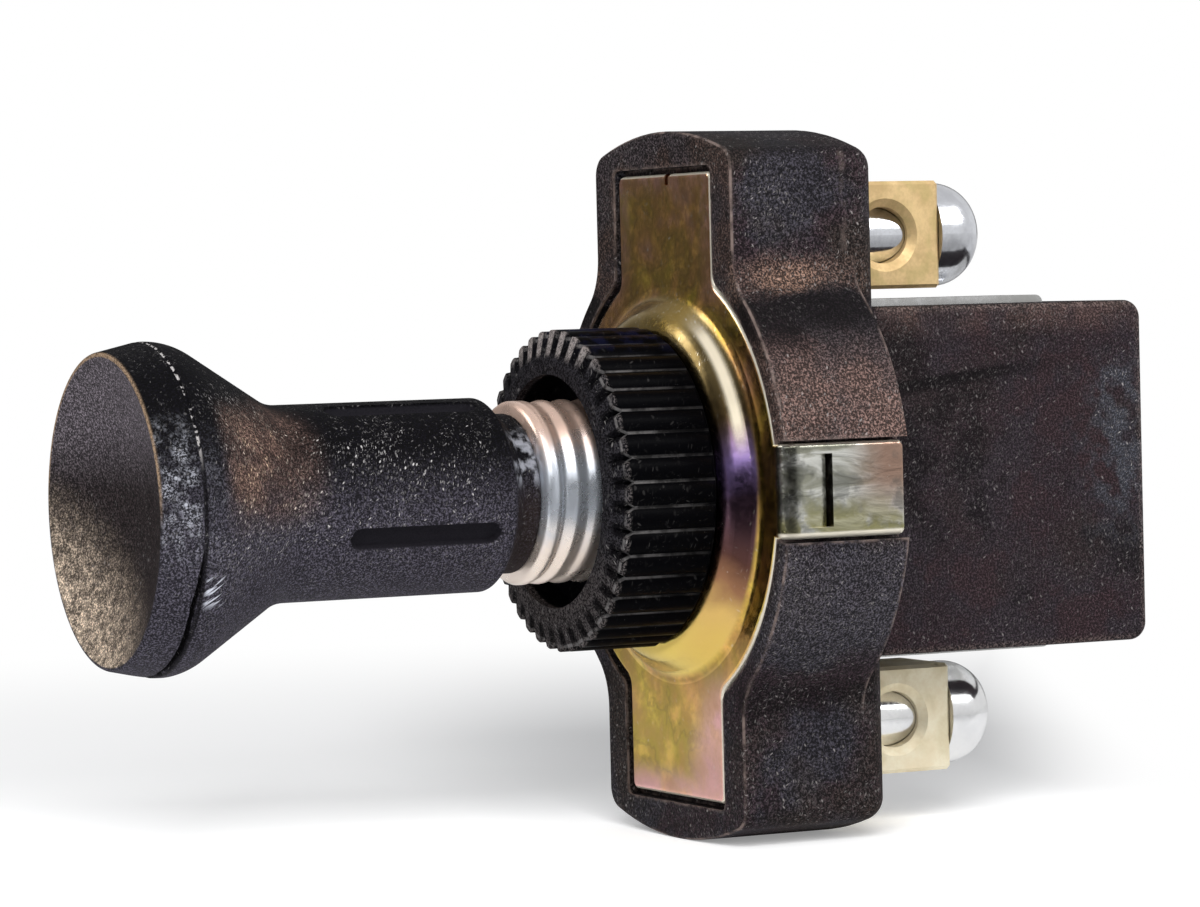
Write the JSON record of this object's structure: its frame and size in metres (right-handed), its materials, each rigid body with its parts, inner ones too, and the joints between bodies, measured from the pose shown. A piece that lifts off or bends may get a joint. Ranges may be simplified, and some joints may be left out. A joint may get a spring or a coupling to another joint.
{
  "type": "push-pull switch",
  "caption": "Panel switch worked by pulling a trumpet knob, with a threaded bush and lobed nut, a plated plate strapped over an eared housing, and screw terminals behind.",
  "frame": {"origin": "on the bush's axis, in the plane of the plate's boss that seats on the back of the panel", "axes": "+Y along the bush's axis from the knob to the rear of the box, +Z along the flange's long way, +X to the side straps"},
  "size_m": [0.0322, 0.072, 0.0468],
  "materials": {
    "knob_moulding": "grained black moulding, dusty",
    "housing_moulding": "grained brown-black moulding, worn edges",
    "nut_moulding": "glossy black moulding",
    "bright_zinc": "bright zinc plate",
    "yellow_chromate": "yellow chromate plate with pink and violet sheen",
    "terminal_brass": "dull cast brass",
    "bright_screw": "bright plated steel",
    "bright_strip": "bright plated strip",
    "contact_brass": "bright turned brass",
    "spring_steel": "drawn spring steel",
    "rod_steel": "bright drawn steel",
    "carriage_board": "brown insulating moulding"
  },
  "bodies": {
    "body": {"housing": "housing_moulding", "mounting_plate": "yellow_chromate", "threaded_bush": "bright_zinc", "detent_ring": "spring_steel", "upper_terminal_pillar": "terminal_brass", "lower_terminal_pillar": "terminal_brass", "upper_contact_strip": "bright_strip", "lower_contact_strip": "bright_strip", "upper_contact_rivet": "contact_brass", "lower_contact_rivet": "contact_brass"},
    "plunger": {"knob": "knob_moulding", "pull_rod": "rod_steel", "stop_clip": "spring_steel", "carriage": "carriage_board", "upper_contact_cap": "contact_brass", "lower_contact_cap": "contact_brass", "contact_spring": "spring_steel"},
    "nut": {"bezel_nut": "nut_moulding"},
    "upper_screw": {"upper_terminal_screw": "bright_screw"},
    "lower_screw": {"lower_terminal_screw": "bright_screw"}
  },
  "joints": [
    {"name": "knob_pull", "type": "slide", "parent": "body", "child": "plunger", "axis": [0, -1, 0], "range_m": [0, 0.01]},
    {"name": "nut_turn", "type": "hinge", "parent": "body", "child": "nut", "pos_m": [0, 0, 0], "axis": [0, 1, 0], "continuous": true},
    {"name": "upper_screw_out", "type": "slide", "parent": "body", "child": "upper_screw", "axis": [0, 1, 0], "range_m": [0, 0.0035]},
    {"name": "lower_screw_out", "type": "slide", "parent": "body", "child": "lower_screw", "axis": [0, 1, 0], "range_m": [0, 0.0035]}
  ]
}
